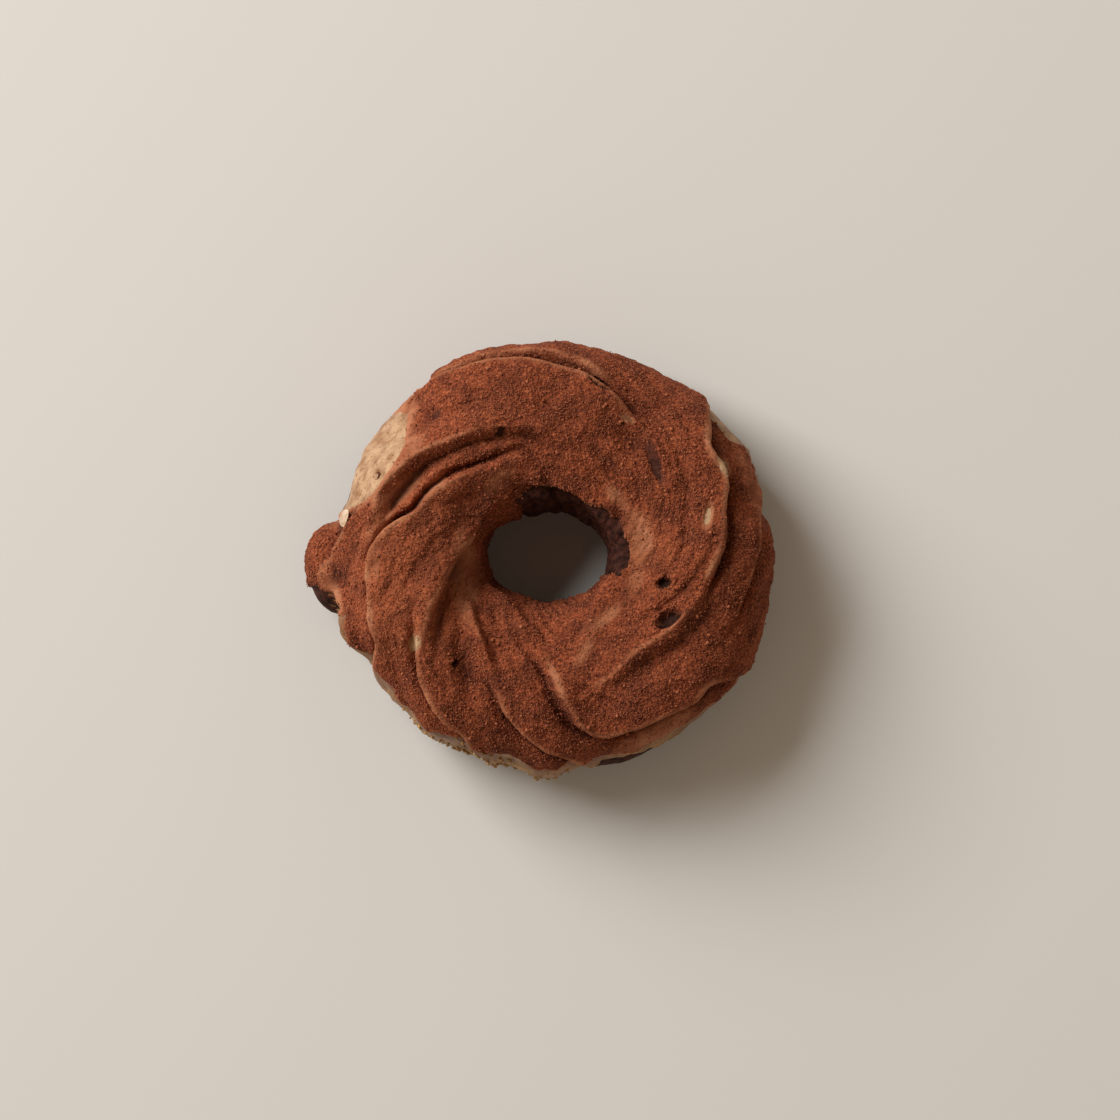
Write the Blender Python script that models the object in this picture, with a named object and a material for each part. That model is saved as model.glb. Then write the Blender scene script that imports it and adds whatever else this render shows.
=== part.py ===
"""A cruller doughnut: one ring of piped dough, glazed and dusted, whose folds twist from the hole over the crown
to the rim, with the piping's tail sticking out on one side. Real size, in metres, +Z up. It rests on z = 0, and
the origin is the centre of its box at the base.

Every point of the ring has a bearing, in degrees counter-clockwise from +X as seen from above, and a turn round
the ring's section, in radians from the rim over the crown to the hole."""

import math
from collections import namedtuple

import bpy
import numpy as np
from mathutils import Matrix, Vector

MM = 0.001

# The plain ring under the folds
RIM_RADIUS = 39.9 * MM
HOLE_HALF_LENGTH = 11.5 * MM
HOLE_HALF_WIDTH = 8.6 * MM
HOLE_SHIFT = -1.5 * MM
WAIST_HEIGHT = 11.0 * MM
CROWN_RISE = 15.4 * MM
CROWN_FULLNESS = 0.95
BASE_SINK = 1.3 * MM
BASE_FULLNESS = 0.6

# How far up from the base the folds fade in
FADE_HEIGHT = 4.0 * MM

# The ring's axis, from the origin
AXIS_X = 3.2 * MM
AXIS_Y = 0.9 * MM

# The rim's unevenness: places where it swells or draws in, as bearing, half angle and how far out in mm
RIM_SWELLS = (
    (2, 8, 1.0), (17, 6, -0.8), (28, 7, 1.0), (62, 14, -0.6), (112, 12, 0.7), (133, 7, -0.8), (156, 9, 1.2),
    (169, 5, 1.2), (200, 5, 1.9), (215, 9, -0.5), (234, 7, 1.6), (256, 4, -0.6), (267, 6, 1.6), (281, 6, -1.0),
    (300, 10, 0.8), (324, 12, 1.6), (345, 9, 0.7),
)

# The tail of the piping, a blob that stands out of the rim. It starts at a share of the rim's radius, and fades in
# over its shoulder, as a share of its size.
TAIL_BEARING = 183.5
TAIL_DISTANCE = 38.8 * MM
TAIL_HEIGHT = 7.7 * MM
TAIL_LENGTH = 8.6 * MM
TAIL_HALF_WIDTH = 9.8 * MM
TAIL_HALF_HEIGHT = 7.4 * MM
TAIL_JOIN = 0.6 * MM
TAIL_FROM = 0.8
TAIL_SHOULDER = 0.25

# The dough's gentle unevenness: the height of its waves and their lengths
WAVE_HEIGHT = 0.35 * MM
WAVE_LENGTHS = (19 * MM, 13 * MM, 9 * MM)

# The mesh: sections round the ring, points round a section, and how far a section leans with the folds, which is
# more round one bearing
SECTIONS = 132
SECTION_POINTS = 44
TWIST = math.radians(64)
MORE_TWIST = math.radians(14)
MOST_TWISTED = math.radians(20)
CROWN_DENSITY = 0.3

# How folds meet, how finely a crest is followed, how far it runs on down the walls, as bearing and turn, and
# where the crease at its foot lies and how wide it is, as shares of its lead
MEETING_SHARPNESS = 5
STEPS_PER_STRETCH = 6
RUN_INTO_HOLE = (-16, 200)
RUN_OVER_RIM = (15, -42)
CREASE_PLACE = 1.7
CREASE_WIDTH = 0.8

# How roundly a fold falls away behind its crest, and the step in radians over which the ring's slope is taken
TRAIL_POWER = 1.4
SLOPE_STEP = 0.01

# A fold's crest runs through points given as (bearing in degrees, distance from the axis in mm, height in mm). It
# drops over lead mm on its right as the route runs, and falls away over trail mm on its left. curl is how far its
# lip leans over the drop, in mm, and crease how deep the crease below it is, as a share of its height. A fold may
# come up out of the hole and may run over the rim.
Fold = namedtuple("Fold", "name route lead trail curl crease from_hole over_rim")
FOLDS = (
    Fold("east_slope", ((274, 26.6, 0.0), (284, 25.0, 1.2), (299, 23.6, 2.0), (311, 23.0, 2.2), (326, 24.6, 2.2),
                        (337, 26.0, 1.8), (348, 27.6, 1.0), (358, 28.8, 0.0)), 3.8, 6.0, 0.0, 0.2, False, False),
    Fold("east", ((334, 24.8, 0.0), (346, 26.7, 1.2), (360, 28.6, 2.6), (383, 32.2, 3.0), (400, 34.6, 2.4)),
         2.3, 5.8, 0.6, 0.5, False, True),
    Fold("east_lower", ((335, 33.4, 0.0), (350, 34.8, 1.8), (362, 36.0, 2.2), (374, 37.8, 1.8)),
         1.6, 5.0, 0.4, 0.5, False, True),
    Fold("east_valley", ((5, 20.5, 0.0), (22, 22.4, 1.0), (36, 25.2, 1.5), (48, 26.4, 1.1), (60, 28.9, 0.8)),
         3.2, 6.0, 0.0, 0.5, False, False),
    Fold("north_east", ((54, 27.0, 0.0), (66, 29.4, 1.8), (74, 31.0, 2.6), (90, 33.4, 2.8), (106, 35.8, 2.8),
                        (117, 37.4, 2.6), (126, 38.6, 2.0)), 1.8, 6.0, 0.3, 0.8, False, True),
    Fold("north_rim", ((141, 38.6, 0.2), (131, 39.3, 1.4), (120, 39.0, 2.2), (108, 38.0, 2.6), (92, 36.5, 2.6),
                       (79, 34.8, 1.9), (68, 33.2, 0.4)), 1.7, 3.4, 1.0, 0.4, False, False),
    Fold("curl", ((169, 32.8, 0.4), (165.5, 33.6, 2.4), (161, 33.7, 3.0), (154, 32.7, 3.0), (143, 30.8, 2.6),
                  (131, 28.4, 2.1), (115, 26.2, 1.6), (97, 23.6, 0.9), (75, 18.5, 0.0)),
         2.2, 4.2, 0.1, 0.35, False, False),
    Fold("north_west", ((105, 17.0, 0.8), (125, 19.9, 1.4), (143, 23.1, 1.9), (161, 25.9, 2.5), (168, 28.6, 3.0),
                        (177, 31.6, 3.4), (187, 33.0, 3.2), (199, 34.3, 3.0), (210, 36.4, 2.4)),
         1.7, 10.0, 0.8, 0.9, True, True),
    Fold("west_lower", ((168, 36.6, 0.8), (176, 39.0, 2.2), (186, 40.2, 2.8), (198, 40.2, 2.4), (211, 40.0, 0.6)),
         1.6, 2.6, 0.5, 0.6, False, False),
    Fold("west_inner", ((222, 31.6, 0.4), (214, 29.4, 2.2), (204, 25.8, 3.2), (193, 22.6, 3.4), (184, 20.2, 3.2),
                        (174, 18.2, 2.6), (163, 17.0, 2.0), (145, 16.4, 1.5), (128, 16.0, 0.4)),
         2.6, 8.5, 0.2, 0.3, False, False),
    Fold("south_west", ((196, 24.0, 0.0), (206, 27.0, 1.4), (214, 29.4, 2.8), (224, 32.0, 3.2), (236, 34.8, 3.0),
                        (247, 37.0, 2.2)), 1.8, 5.2, 0.6, 0.5, False, True),
    Fold("south_inner", ((252, 28.0, 0.3), (243, 24.6, 1.4), (232, 21.8, 1.6), (219, 19.8, 1.4), (206, 18.0, 0.4)),
         1.8, 2.8, 0.0, 0.4, False, False),
    Fold("south", ((234, 22.6, 0.0), (246, 25.8, 1.6), (255, 30.0, 2.8), (266, 34.0, 2.8), (275, 37.0, 2.0)),
         1.9, 6.5, 0.5, 0.45, False, True),
    Fold("south_east", ((244, 14.0, 0.0), (256, 16.6, 0.5), (264, 18.6, 1.2), (271, 22.8, 2.2), (276, 28.0, 2.9),
                        (283, 32.0, 3.2), (300, 33.4, 3.3), (313, 35.2, 2.8), (324, 37.4, 1.8)),
         2.5, 5.8, 0.3, 0.6, False, True),
    Fold("hole_lip", ((125, 16.0, 0.6), (108, 15.2, 1.6), (90, 13.8, 2.2), (60, 13.2, 2.4), (30, 12.8, 2.4),
                      (0, 13.0, 2.4), (-24, 12.8, 2.6), (-43, 12.8, 2.8), (-64, 15.0, 2.2), (-80, 19.2, 1.0),
                      (-84, 22.0, 0.0)), 2.0, 4.0, 0.3, 0.1, False, False),
    Fold("hole_lip_low", ((264, 15.8, 0.2), (247, 14.4, 1.5), (222, 13.6, 1.7), (205, 13.8, 1.2), (190, 14.2, 0.2)),
         1.8, 2.6, 0.2, 0.1, False, False),
)

# A shallow hollow: its bearing, distance from the axis, half length, half width and depth in mm, and its heading
# in degrees counter-clockwise from +X
Dent = namedtuple("Dent", "name bearing distance half_length half_width depth heading")
DENTS = (
    Dent("curl_hollow", 156.5, 29.9, 5.6, 1.6, 1.6, 42),
    Dent("crown_hollow", 132, 35.0, 3.2, 2.2, 0.7, 30),
    Dent("crown_valley", 91, 28.8, 4.0, 1.4, 0.6, 50),
    Dent("west_slope", 190, 17.0, 6.0, 3.2, 1.6, 135),
    Dent("north_slope", 148, 19.5, 5.0, 3.0, 1.0, 60),
    Dent("valley", 52, 24.5, 7.0, 2.4, 1.3, 130),
    Dent("bubble_valley", 331, 22.6, 4.5, 2.2, 0.8, 40),
    Dent("south_west_valley", 229, 26.0, 8.0, 2.6, 1.7, 104),
)

# A burst bubble, an open pit in the crust, given the same way
PITS = (
    Dent("burst_bubble", 331, 23.6, 2.5, 1.35, 1.9, 32),
    Dent("small_bubble", 346, 20.5, 1.35, 0.9, 1.3, 10),
    Dent("pin_hole", 227, 27.1, 0.8, 0.6, 1.0, 70),
    Dent("curl_slot", 155.6, 36.3, 0.9, 0.5, 1.0, 75),
    Dent("crease_slot", 76, 32.8, 1.7, 0.6, 1.3, 150),
)

# The look of the cocoa
COCOA_COLOUR = (0.23, 0.062, 0.028, 1.0)
COCOA_ROUGHNESS = 0.9

# A chip of crust that lies on the west side
CHIP = Dent("chip", 169.9, 39.3, 1.9, 0.9, 0.5, 58)
CHIP_LIFT = 0.1
CHIP_STEEPNESS = 0.6


def hole_radius(bearing):
    """Distance from the axis to the hole's wall, an ellipse whose centre is off the axis."""
    cos, sin = np.cos(bearing), np.sin(bearing)
    square = (cos / HOLE_HALF_LENGTH) ** 2 + (sin / HOLE_HALF_WIDTH) ** 2
    linear = -HOLE_SHIFT * cos / HOLE_HALF_LENGTH**2
    rest = (HOLE_SHIFT / HOLE_HALF_LENGTH) ** 2 - 1
    return (-linear + np.sqrt(linear**2 - square * rest)) / square


def rim_radius(bearing):
    """Distance from the axis to the rim, with its swells."""
    radius = RIM_RADIUS
    for swell_bearing, half_angle, swell in RIM_SWELLS:
        apart = bearing - math.radians(swell_bearing)
        apart = np.arctan2(np.sin(apart), np.cos(apart))
        radius = radius + swell * MM * np.exp(-((apart / math.radians(half_angle)) ** 2))
    return radius


def ring_point(bearing, turn):
    """The plain ring's surface."""
    inner, outer = hole_radius(bearing), rim_radius(bearing)
    middle, half = (outer + inner) / 2, (outer - inner) / 2
    away = middle + half * np.cos(turn)
    lift = np.abs(np.sin(turn))
    above = CROWN_RISE * lift**CROWN_FULLNESS
    below = -(WAIST_HEIGHT + BASE_SINK) * lift**BASE_FULLNESS
    height = np.maximum(WAIST_HEIGHT + np.where(np.sin(turn) > 0, above, below), 0.0)
    return np.stack([away * np.cos(bearing), away * np.sin(bearing), height], axis=-1)


def unit(vectors):
    return vectors / np.maximum(np.linalg.norm(vectors, axis=-1, keepdims=True), 1e-12)


def ring_normal(bearing, turn):
    along = ring_point(bearing + SLOPE_STEP, turn) - ring_point(bearing - SLOPE_STEP, turn)
    across = ring_point(bearing, turn + SLOPE_STEP) - ring_point(bearing, turn - SLOPE_STEP)
    return unit(np.cross(along, across))


def smooth_route(points):
    """A Catmull-Rom curve through the points."""
    padded = np.vstack([2 * points[0] - points[1], points, 2 * points[-1] - points[-2]])
    found = []
    for a, b, c, d in zip(padded, padded[1:], padded[2:], padded[3:]):
        for step in range(STEPS_PER_STRETCH):
            t = step / STEPS_PER_STRETCH
            found.append(0.5 * (2 * b + (c - a) * t + (2 * a - 5 * b + 4 * c - d) * t**2
                                + (3 * b - a - 3 * c + d) * t**3))
    return np.vstack([found, points[-1]])


def turn_at(bearing, away):
    """The turn over the crown at which the plain ring lies this far from the axis."""
    inner, outer = hole_radius(bearing), rim_radius(bearing)
    return np.arccos(np.clip((2 * away - outer - inner) / (outer - inner), -0.99, 0.99))


def crest_of(fold):
    """Points of a fold's crest on the plain ring, the ring's normals there, and the fold's heights."""
    route = np.array(fold.route, float) * (math.radians(1), MM, MM)
    route[:, 1] = turn_at(route[:, 0], route[:, 1])
    if fold.from_hole:
        route = np.vstack([(route[0, 0] + math.radians(RUN_INTO_HOLE[0]), math.radians(RUN_INTO_HOLE[1]), 0), route])
    if fold.over_rim:
        route = np.vstack([route, (route[-1, 0] + math.radians(RUN_OVER_RIM[0]), math.radians(RUN_OVER_RIM[1]), 0)])
    bearing, turn, lift = smooth_route(route).T
    return ring_point(bearing, turn), ring_normal(bearing, turn), np.maximum(lift, 0.0)


def beside(points, crest, normals, lifts):
    """Signed distance of each point from a crest, positive on its right, the crest's height there, and the
    direction to its right."""
    best = np.full(len(points), np.inf)
    side = np.zeros(len(points))
    lift = np.zeros(len(points))
    right = np.zeros((len(points), 3))
    for i in range(len(crest) - 1):
        run = crest[i + 1] - crest[i]
        share = np.clip((points - crest[i]) @ run / (run @ run), 0, 1)
        offset = points - crest[i] - share[:, None] * run
        distance = np.linalg.norm(offset, axis=1)
        aside = unit(np.cross(run, normals[i]))
        nearer = distance < best
        best[nearer] = distance[nearer]
        side[nearer] = (distance * np.where(offset @ aside > 0, 1, -1))[nearer]
        lift[nearer] = (lifts[i] + share * (lifts[i + 1] - lifts[i]))[nearer]
        right[nearer] = aside
    return side, lift, right


def fold_relief(points, fold):
    """A fold's height over the plain ring at each point, the crease at its foot, and how its lip leans."""
    crest, normals, lifts = crest_of(fold)
    side, lift, right = beside(points, crest, normals, lifts)
    lead = np.exp(-((side / (fold.lead * MM)) ** 2))
    trail = np.exp(-(np.abs(side / (fold.trail * MM)) ** TRAIL_POWER))
    height = lift * np.where(side > 0, lead, trail)
    crease = lift * fold.crease * np.exp(-(((side / (fold.lead * MM) - CREASE_PLACE) / CREASE_WIDTH) ** 2))
    lean = lift / lifts.max() * fold.curl * MM * lead
    return height, crease, lean[:, None] * right


def dent_relief(points, dent):
    """A hollow's depth at each point, seen from above."""
    bearing, heading = math.radians(dent.bearing), math.radians(dent.heading)
    centre = dent.distance * MM * np.array([math.cos(bearing), math.sin(bearing)])
    offset = points[:, :2] - centre
    along = offset @ np.array([math.cos(heading), math.sin(heading)]) / (dent.half_length * MM)
    across = offset @ np.array([-math.sin(heading), math.cos(heading)]) / (dent.half_width * MM)
    on_top = points[:, 2] > WAIST_HEIGHT
    return dent.depth * MM * np.exp(-(along**2) - across**2) * on_top


def waves(points):
    """The dough's unevenness."""
    height = 0.0
    for i, length in enumerate(WAVE_LENGTHS):
        turned = points * (math.tau / length)
        height = height + (np.sin(turned[:, 0] + 2.1 * i) * np.sin(turned[:, 1] + 1.3 * i + 0.5)
                           + np.sin(turned[:, 2] + turned[:, 1] * 0.6 + i))
    return height * WAVE_HEIGHT / len(WAVE_LENGTHS)


def with_tail(points):
    """The points moved out to the tail where it stands out of the ring."""
    bearing = math.radians(TAIL_BEARING)
    out = np.array([math.cos(bearing), math.sin(bearing), 0.0])
    aside = np.array([-math.sin(bearing), math.cos(bearing), 0.0])
    away = points @ out
    inside = 1 - (points @ aside / TAIL_HALF_WIDTH) ** 2 - ((points[:, 2] - TAIL_HEIGHT) / TAIL_HALF_HEIGHT) ** 2
    blob = TAIL_DISTANCE + TAIL_LENGTH * np.sqrt(np.clip(inside, 0, 1))
    gain = blob - away
    gain = TAIL_JOIN * np.log1p(np.exp(np.clip(gain / TAIL_JOIN, -30, 30)))
    faces_out = (inside > 0) & (away > TAIL_FROM * RIM_RADIUS)
    return points + np.where(faces_out, gain * np.clip(inside / TAIL_SHOULDER, 0, 1), 0.0)[:, None] * out


def cruller_surface(bearing, turn):
    """The folded ring's surface."""
    points, normals = ring_point(bearing, turn), ring_normal(bearing, turn)
    heights, creases, lean = 0.0, 0.0, 0.0
    for fold in FOLDS:
        height, crease, leaning = fold_relief(points, fold)
        heights = heights + height**MEETING_SHARPNESS
        creases = np.maximum(creases, crease)
        lean = lean + leaning
    height = heights ** (1 / MEETING_SHARPNESS) - creases + waves(points)
    for dent in DENTS:
        height = height - dent_relief(points, dent)
    above_base = np.clip(points[:, 2] / FADE_HEIGHT, 0, 1)[:, None]
    moved = with_tail(points + above_base * (normals * height[:, None] + lean))
    moved[:, 2] = np.maximum(moved[:, 2], 0.0)
    return moved


def make_lump(dent, lift, steepness, cruller, collection):
    """A flattened ball on top of the cruller, its centre lift mm over it. It leans with the surface by a share."""
    bearing = math.radians(dent.bearing)
    above = Vector((math.cos(bearing), math.sin(bearing), 2.0)) * dent.distance * MM
    _, place, normal, _ = cruller.ray_cast(above, (0.0, 0.0, -1.0))
    normal = (normal * steepness + Vector((0.0, 0.0, 1.0 - steepness))).normalized()
    bpy.ops.mesh.primitive_ico_sphere_add(subdivisions=2, radius=1.0)
    lump = bpy.context.object
    lump.name = lump.data.name = dent.name
    heading = math.radians(dent.heading)
    length = Vector((math.cos(heading), math.sin(heading), 0.0))
    length = (length - normal * length.dot(normal)).normalized()
    sizes = Matrix.Diagonal((dent.half_length * MM, dent.half_width * MM, dent.depth * MM, 1.0))
    axes = Matrix((length, normal.cross(length), normal)).transposed().to_4x4()
    axis = Vector((AXIS_X, AXIS_Y, 0.0))
    lump.matrix_world = Matrix.Translation(axis + place + normal * lift * MM) @ axes @ sizes
    put_in(lump, collection)
    return lump


def put_in(thing, collection):
    for other in thing.users_collection:
        other.objects.unlink(thing)
    collection.objects.link(thing)


def combine(target, collection, operation):
    """Applies one Boolean of the target with everything in a collection."""
    modifier = target.modifiers.new(collection.name, "BOOLEAN")
    modifier.operation = operation
    modifier.operand_type = "COLLECTION"
    modifier.collection = collection
    modifier.solver = "EXACT"
    bpy.context.view_layer.objects.active = target
    bpy.ops.object.modifier_apply(modifier=modifier.name)


def cruller_material():
    material = bpy.data.materials.new("cocoa_dusted_dough")
    material.use_nodes = True
    shader = material.node_tree.nodes["Principled BSDF"]
    shader.inputs["Base Color"].default_value = COCOA_COLOUR
    shader.inputs["Roughness"].default_value = COCOA_ROUGHNESS
    shader.inputs["Metallic"].default_value = 0.0
    return material


def make_cruller(collection):
    """A torus whose points move onto the folded ring. Its sections lean with the twist, so that the mesh's edges
    run along the folds."""
    bpy.ops.mesh.primitive_torus_add(major_segments=SECTIONS, minor_segments=SECTION_POINTS,
                                     major_radius=2.0, minor_radius=1.0)
    cruller = bpy.context.object
    cruller.name = cruller.data.name = "cruller"
    mesh = cruller.data
    places = np.empty(len(mesh.vertices) * 3)
    mesh.vertices.foreach_get("co", places)
    places = places.reshape(-1, 3)
    turn = np.arctan2(places[:, 2], np.linalg.norm(places[:, :2], axis=1) - 2.0)
    turn = turn + CROWN_DENSITY * np.cos(turn)
    bearing = np.arctan2(places[:, 1], places[:, 0])
    twist = TWIST + MORE_TWIST * np.cos(bearing - MOST_TWISTED)
    bearing = bearing + twist * np.cos(turn)
    mesh.vertices.foreach_set("co", cruller_surface(bearing, turn).ravel())
    mesh.materials.append(cruller_material())
    mesh.shade_smooth()
    cruller.location = (AXIS_X, AXIS_Y, 0.0)
    put_in(cruller, collection)
    return cruller


def new_collection(name):
    collection = bpy.data.collections.new(name)
    bpy.context.scene.collection.children.link(collection)
    return collection


def main():
    for thing in list(bpy.data.objects):
        bpy.data.objects.remove(thing)
    cruller = make_cruller(new_collection("cruller_doughnut"))
    chips = new_collection("chips")
    make_lump(CHIP, CHIP_LIFT, CHIP_STEEPNESS, cruller, chips)
    combine(cruller, chips, "UNION")
    for chip in list(chips.objects):
        bpy.data.objects.remove(chip)
    bpy.data.collections.remove(chips)
    pits = new_collection("pits")
    for pit in PITS:
        cutter = make_lump(pit, 0.0, 1.0, cruller, pits)
        cutter.hide_render = True
        cutter.display_type = "WIRE"
    combine(cruller, pits, "DIFFERENCE")
    cruller.data.shade_smooth()


main()
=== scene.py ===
"""Looks of the cocoa-dusted cruller: chocolate dough, a tan glaze that stops short of the base, a crust of
cocoa with loose grains on it, crumbs of glaze at the foot and a chip of crust. Metres, +Z up.

Every point of the ring has a bearing, counter-clockwise from +X as seen from above, and a turn round the
ring's section, from the rim over the crown to the hole. Both are in radians, and in degrees in the tables."""

import math
from collections import namedtuple

import bmesh
import bpy
import numpy as np
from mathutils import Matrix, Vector


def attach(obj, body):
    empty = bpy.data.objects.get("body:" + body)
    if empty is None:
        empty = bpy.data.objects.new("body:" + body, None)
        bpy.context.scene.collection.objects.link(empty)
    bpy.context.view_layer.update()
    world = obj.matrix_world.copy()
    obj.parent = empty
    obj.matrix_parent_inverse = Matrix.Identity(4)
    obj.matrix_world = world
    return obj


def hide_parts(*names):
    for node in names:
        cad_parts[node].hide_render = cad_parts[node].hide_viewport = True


MM = 0.001
SEED = 7

# The plain ring under the folds
RIM_RADIUS = 39.9 * MM
HOLE_HALF_LENGTH = 11.5 * MM
HOLE_HALF_WIDTH = 8.6 * MM
HOLE_SHIFT = -1.5 * MM
WAIST_HEIGHT = 11.0 * MM
CROWN_RISE = 15.4 * MM
CROWN_FULLNESS = 0.95
BASE_SINK = 1.3 * MM
BASE_FULLNESS = 0.6

# How far up from the base the folds fade in
FADE_HEIGHT = 4.0 * MM

# The ring's axis, from the origin
AXIS_X = 3.2 * MM
AXIS_Y = 0.9 * MM

# The rim's unevenness: places where it swells or draws in, as bearing, half angle and how far out in mm
RIM_SWELLS = (
    (2, 8, 1.0), (17, 6, -0.8), (28, 7, 1.0), (62, 14, -0.6), (112, 12, 0.7), (133, 7, -0.8),
    (156, 9, 1.2), (169, 5, 1.2), (200, 5, 1.9), (215, 9, -0.5), (234, 7, 1.6), (256, 4, -0.6),
    (267, 6, 1.6), (281, 6, -1.0), (300, 10, 0.8), (324, 12, 1.6), (345, 9, 0.7),
)

# The tail of the piping, a blob that stands out of the rim. It starts at a share of the rim's radius, and
# fades in over its shoulder, as a share of its size.
TAIL_BEARING = 183.5
TAIL_DISTANCE = 38.8 * MM
TAIL_HEIGHT = 7.7 * MM
TAIL_LENGTH = 8.6 * MM
TAIL_HALF_WIDTH = 9.8 * MM
TAIL_HALF_HEIGHT = 7.4 * MM
TAIL_JOIN = 0.6 * MM
TAIL_FROM = 0.8
TAIL_SHOULDER = 0.25

# The dough's gentle unevenness: the height of its waves and their lengths
WAVE_HEIGHT = 0.35 * MM
WAVE_LENGTHS = (19 * MM, 13 * MM, 9 * MM)

# How folds meet, how finely a crest is followed, how far it runs on down the walls, as bearing and turn,
# and where the crease at its foot lies and how wide it is, as shares of its lead
MEETING_SHARPNESS = 5
STEPS_PER_STRETCH = 6
RUN_INTO_HOLE = (-16, 200)
RUN_OVER_RIM = (15, -42)
CREASE_PLACE = 1.7
CREASE_WIDTH = 0.8

# How roundly a fold falls away behind its crest, and the step in radians over which the ring's slope is
# taken
TRAIL_POWER = 1.4
SLOPE_STEP = 0.01

# A fold's crest runs through points given as (bearing in degrees, distance from the axis in mm, height in
# mm). It drops over lead mm on its right as the route runs, and falls away over trail mm on its left. curl
# is how far its lip leans over the drop, in mm, and crease how deep the crease below it is, as a share of
# its height. A fold may come up out of the hole and may run over the rim.
Fold = namedtuple("Fold", "name route lead trail curl crease from_hole over_rim")
FOLDS = (
    Fold("east_slope", (
        (274, 26.6, 0.0), (284, 25.0, 1.2), (299, 23.6, 2.0), (311, 23.0, 2.2), (326, 24.6, 2.2),
        (337, 26.0, 1.8), (348, 27.6, 1.0), (358, 28.8, 0.0),
    ), 3.8, 6.0, 0.0, 0.2, False, False),
    Fold("east", (
        (334, 24.8, 0.0), (346, 26.7, 1.2), (360, 28.6, 2.6), (383, 32.2, 3.0), (400, 34.6, 2.4),
    ), 2.3, 5.8, 0.6, 0.5, False, True),
    Fold("east_lower", (
        (335, 33.4, 0.0), (350, 34.8, 1.8), (362, 36.0, 2.2), (374, 37.8, 1.8),
    ), 1.6, 5.0, 0.4, 0.5, False, True),
    Fold("east_valley", (
        (5, 20.5, 0.0), (22, 22.4, 1.0), (36, 25.2, 1.5), (48, 26.4, 1.1), (60, 28.9, 0.8),
    ), 3.2, 6.0, 0.0, 0.5, False, False),
    Fold("north_east", (
        (54, 27.0, 0.0), (66, 29.4, 1.8), (74, 31.0, 2.6), (90, 33.4, 2.8), (106, 35.8, 2.8),
        (117, 37.4, 2.6), (126, 38.6, 2.0),
    ), 1.8, 6.0, 0.3, 0.8, False, True),
    Fold("north_rim", (
        (141, 38.6, 0.2), (131, 39.3, 1.4), (120, 39.0, 2.2), (108, 38.0, 2.6), (92, 36.5, 2.6),
        (79, 34.8, 1.9), (68, 33.2, 0.4),
    ), 1.7, 3.4, 1.0, 0.4, False, False),
    Fold("curl", (
        (169, 32.8, 0.4), (165.5, 33.6, 2.4), (161, 33.7, 3.0), (154, 32.7, 3.0), (143, 30.8, 2.6),
        (131, 28.4, 2.1), (115, 26.2, 1.6), (97, 23.6, 0.9), (75, 18.5, 0.0),
    ), 2.2, 4.2, 0.1, 0.35, False, False),
    Fold("north_west", (
        (105, 17.0, 0.8), (125, 19.9, 1.4), (143, 23.1, 1.9), (161, 25.9, 2.5), (168, 28.6, 3.0),
        (177, 31.6, 3.4), (187, 33.0, 3.2), (199, 34.3, 3.0), (210, 36.4, 2.4),
    ), 1.7, 10.0, 0.8, 0.9, True, True),
    Fold("west_lower", (
        (168, 36.6, 0.8), (176, 39.0, 2.2), (186, 40.2, 2.8), (198, 40.2, 2.4), (211, 40.0, 0.6),
    ), 1.6, 2.6, 0.5, 0.6, False, False),
    Fold("west_inner", (
        (222, 31.6, 0.4), (214, 29.4, 2.2), (204, 25.8, 3.2), (193, 22.6, 3.4), (184, 20.2, 3.2),
        (174, 18.2, 2.6), (163, 17.0, 2.0), (145, 16.4, 1.5), (128, 16.0, 0.4),
    ), 2.6, 8.5, 0.2, 0.3, False, False),
    Fold("south_west", (
        (196, 24.0, 0.0), (206, 27.0, 1.4), (214, 29.4, 2.8), (224, 32.0, 3.2), (236, 34.8, 3.0),
        (247, 37.0, 2.2),
    ), 1.8, 5.2, 0.6, 0.5, False, True),
    Fold("south_inner", (
        (252, 28.0, 0.3), (243, 24.6, 1.4), (232, 21.8, 1.6), (219, 19.8, 1.4), (206, 18.0, 0.4),
    ), 1.8, 2.8, 0.0, 0.4, False, False),
    Fold("south", (
        (234, 22.6, 0.0), (246, 25.8, 1.6), (255, 30.0, 2.8), (266, 34.0, 2.8), (275, 37.0, 2.0),
    ), 1.9, 6.5, 0.5, 0.45, False, True),
    Fold("south_east", (
        (244, 14.0, 0.0), (256, 16.6, 0.5), (264, 18.6, 1.2), (271, 22.8, 2.2), (276, 28.0, 2.9),
        (283, 32.0, 3.2), (300, 33.4, 3.3), (313, 35.2, 2.8), (324, 37.4, 1.8),
    ), 2.5, 5.8, 0.3, 0.6, False, True),
    Fold("hole_lip", (
        (125, 16.0, 0.6), (108, 15.2, 1.6), (90, 13.8, 2.2), (60, 13.2, 2.4), (30, 12.8, 2.4),
        (0, 13.0, 2.4), (-24, 12.8, 2.6), (-43, 12.8, 2.8), (-64, 15.0, 2.2), (-80, 19.2, 1.0),
        (-84, 22.0, 0.0),
    ), 2.0, 4.0, 0.3, 0.1, False, False),
    Fold("hole_lip_low", (
        (264, 15.8, 0.2), (247, 14.4, 1.5), (222, 13.6, 1.7), (205, 13.8, 1.2), (190, 14.2, 0.2),
    ), 1.8, 2.6, 0.2, 0.1, False, False),
)

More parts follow.
